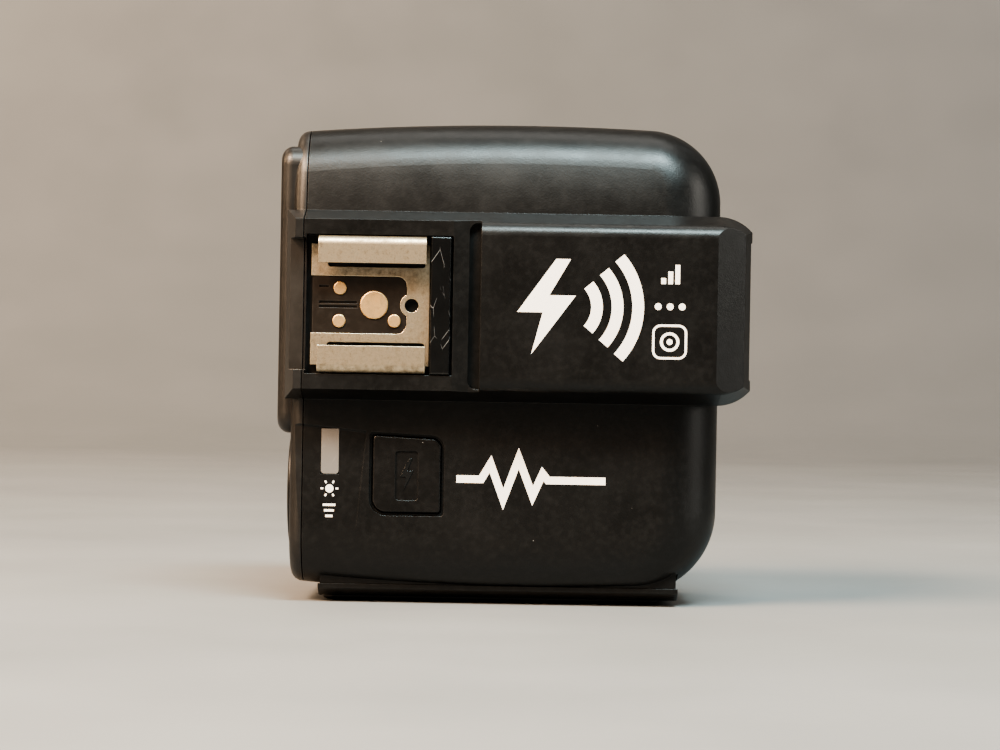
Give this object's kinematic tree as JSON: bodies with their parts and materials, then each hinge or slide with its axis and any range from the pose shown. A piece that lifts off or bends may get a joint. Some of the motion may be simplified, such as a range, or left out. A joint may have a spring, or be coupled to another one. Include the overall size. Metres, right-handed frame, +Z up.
{
  "type": "wireless flash trigger",
  "caption": "Shoe-mounted radio flash trigger with pass-through shoe, test button, display, dial, keys, battery door and locking foot.",
  "frame": {"origin": "centre of the bounding box on the surface the trigger stands on, resting on its battery door", "axes": "+Z up from the standing face, +X towards the lamp window, -Y out of the accessory shoe, +Y out of the mounting foot"},
  "size_m": [0.0724, 0.052, 0.0746],
  "materials": {
    "housing_black": "fine matte grain",
    "panel_black": "satin",
    "gloss_black": "polished, scratched",
    "button_black": "satin",
    "steel": "worn nickel",
    "contact": "bright, worn",
    "spring_steel": "bright",
    "insert_black": "satin",
    "light_pipe": "milky",
    "lamp_red": "dark red, polished",
    "display_glass": "polished",
    "display_cell": "reflective",
    "white_plastic": "matte",
    "board_green": "lacquered",
    "part_black": "matte",
    "rubber": "matte",
    "clear_led": "tinted",
    "cell_wrap": "printed film",
    "pin_gold": "plated",
    "screw_steel": "blackened"
  },
  "bodies": {
    "housing": {"antenna": "white_plastic", "backlight_panel": "white_plastic", "battery_cell_1": "cell_wrap", "battery_cell_2": "cell_wrap", "battery_contacts": "spring_steel", "battery_springs": "spring_steel", "battery_tray": "part_black", "bottom_shell": "housing_black", "buzzer": "part_black", "centre_contact": "contact", "contact_block": "insert_black", "control_board": "board_green", "dial_encoder": "part_black", "display_module": "display_cell", "display_window": "display_glass", "foot": "part_black", "foot_bracket": "spring_steel", "foot_screws": "spring_steel", "housing_screws": "screw_steel", "key_switches": "part_black", "keypad_mat": "rubber", "lamp_holder": "white_plastic", "lamp_led": "clear_led", "lamp_window": "lamp_red", "main_board": "board_green", "radio_module": "spring_steel", "rear_shell": "panel_black", "shoe_backstop": "gloss_black", "shoe_rails": "steel", "shoe_springs": "spring_steel", "slide_switches": "part_black", "small_contacts": "contact", "status_light": "light_pipe", "sync_jack": "part_black", "test_switch": "part_black", "top_shell": "housing_black", "usb_port": "spring_steel"},
    "battery_door": {"battery_door": "housing_black"},
    "test_button": {"test_button": "button_black"},
    "select_dial": {"select_dial": "button_black"},
    "set_button": {"set_button": "button_black"},
    "mode_button": {"mode_button": "rubber"},
    "group_button": {"group_button": "rubber"},
    "channel_button": {"channel_button": "rubber"},
    "menu_button": {"menu_button": "rubber"},
    "power_switch": {"power_switch": "button_black"},
    "lamp_switch": {"lamp_switch": "button_black"},
    "lock_plate": {"lock_plate": "spring_steel"},
    "lock_ring": {"lock_ring": "button_black"},
    "lock_pin": {"lock_pin": "spring_steel"},
    "foot_centre_pin": {"foot_centre_pin": "pin_gold"},
    "foot_small_pins": {"foot_small_pins": "pin_gold"}
  },
  "joints": [
    {"name": "door_slide", "type": "slide", "parent": "housing", "child": "battery_door", "axis": [1, 0, 0], "range_m": [0, 0.0035]},
    {"name": "test_press", "type": "slide", "parent": "housing", "child": "test_button", "axis": [0, 1, 0], "range_m": [0, 0.0005], "stiffness_N_per_m": 1500},
    {"name": "dial_turn", "type": "hinge", "parent": "housing", "child": "select_dial", "pos_m": [-0.034, -0.003, 0.017], "axis": [1, 0, 0], "continuous": true},
    {"name": "set_press", "type": "slide", "parent": "housing", "child": "set_button", "axis": [1, 0, 0], "range_m": [0, 0.0004], "stiffness_N_per_m": 1500},
    {"name": "mode_press", "type": "slide", "parent": "housing", "child": "mode_button", "axis": [1, 0, 0], "range_m": [0, 0.00045], "stiffness_N_per_m": 1500},
    {"name": "group_press", "type": "slide", "parent": "housing", "child": "group_button", "axis": [1, 0, 0], "range_m": [0, 0.00045], "stiffness_N_per_m": 1500},
    {"name": "channel_press", "type": "slide", "parent": "housing", "child": "channel_button", "axis": [1, 0, 0], "range_m": [0, 0.00045], "stiffness_N_per_m": 1500},
    {"name": "menu_press", "type": "slide", "parent": "housing", "child": "menu_button", "axis": [1, 0, 0], "range_m": [0, 0.00045], "stiffness_N_per_m": 1500},
    {"name": "power_slide", "type": "slide", "parent": "housing", "child": "power_switch", "axis": [1, 0, 0], "range_m": [0, 0.0026]},
    {"name": "lamp_slide", "type": "slide", "parent": "housing", "child": "lamp_switch", "axis": [1, 0, 0], "range_m": [0, 0.0026]},
    {"name": "lock_plate_slide", "type": "slide", "parent": "housing", "child": "lock_plate", "axis": [0, 1, 0], "range_m": [0, 0.001]},
    {"name": "lock_ring_turn", "type": "hinge", "parent": "lock_plate", "child": "lock_ring", "pos_m": [-0.0213, 0.019, 0.0458], "axis": [0, 1, 0], "range_deg": [0, 270]},
    {"name": "lock_pin_slide", "type": "slide", "parent": "housing", "child": "lock_pin", "axis": [0, 1, 0], "range_m": [0, 0.0015]},
    {"name": "centre_pin_press", "type": "slide", "parent": "housing", "child": "foot_centre_pin", "axis": [0, -1, 0], "range_m": [0, 0.0005], "stiffness_N_per_m": 800},
    {"name": "small_pins_press", "type": "slide", "parent": "housing", "child": "foot_small_pins", "axis": [0, -1, 0], "range_m": [0, 0.0005], "stiffness_N_per_m": 800}
  ],
  "couplings": [
    {"joint": "lock_plate_slide", "follows": "lock_ring_turn", "m_per_rad": 0.0002122},
    {"joint": "lock_pin_slide", "follows": "lock_ring_turn", "m_per_rad": 0.0003183}
  ]
}
